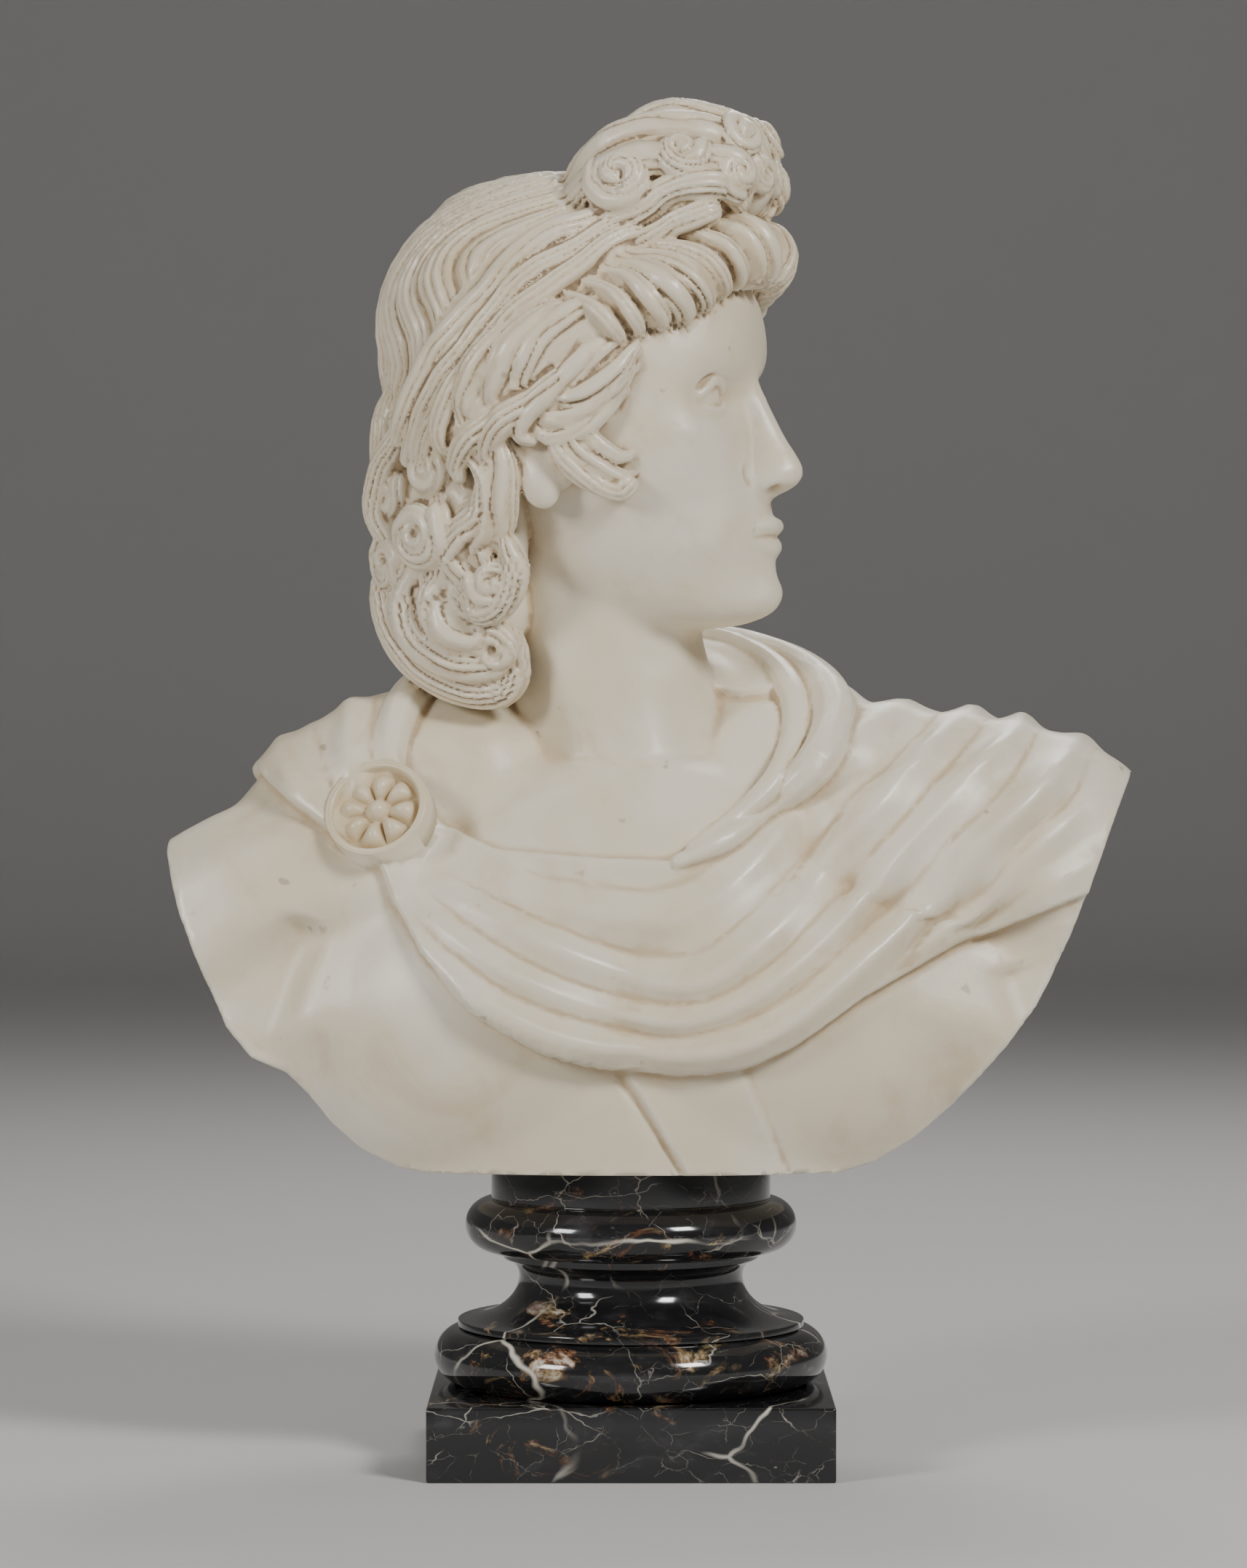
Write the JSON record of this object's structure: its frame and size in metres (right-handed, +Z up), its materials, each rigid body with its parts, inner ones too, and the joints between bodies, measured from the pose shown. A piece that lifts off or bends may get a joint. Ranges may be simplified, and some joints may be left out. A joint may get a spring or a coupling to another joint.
{
  "type": "marble bust on a socle",
  "caption": "Classical marble bust of a youth with his head turned, in a cloak pinned by a round brooch, on a turned black marble socle with a square plinth.",
  "frame": {"origin": "middle of the plinth's underside, on the axis of the turned socle", "axes": "+Z up, the bust's chest faces -Y, and its head is turned to its own left, towards +X"},
  "size_m": [0.3873, 0.185, 0.5491],
  "materials": {
    "white_marble": "aged ivory white marble, softly polished, with brown patina in the hollows",
    "black_marble": "polished black marble with white, gold and rust veins"
  },
  "bodies": {
    "root": {"bust": "white_marble", "socle": "black_marble"}
  },
  "joints": []
}
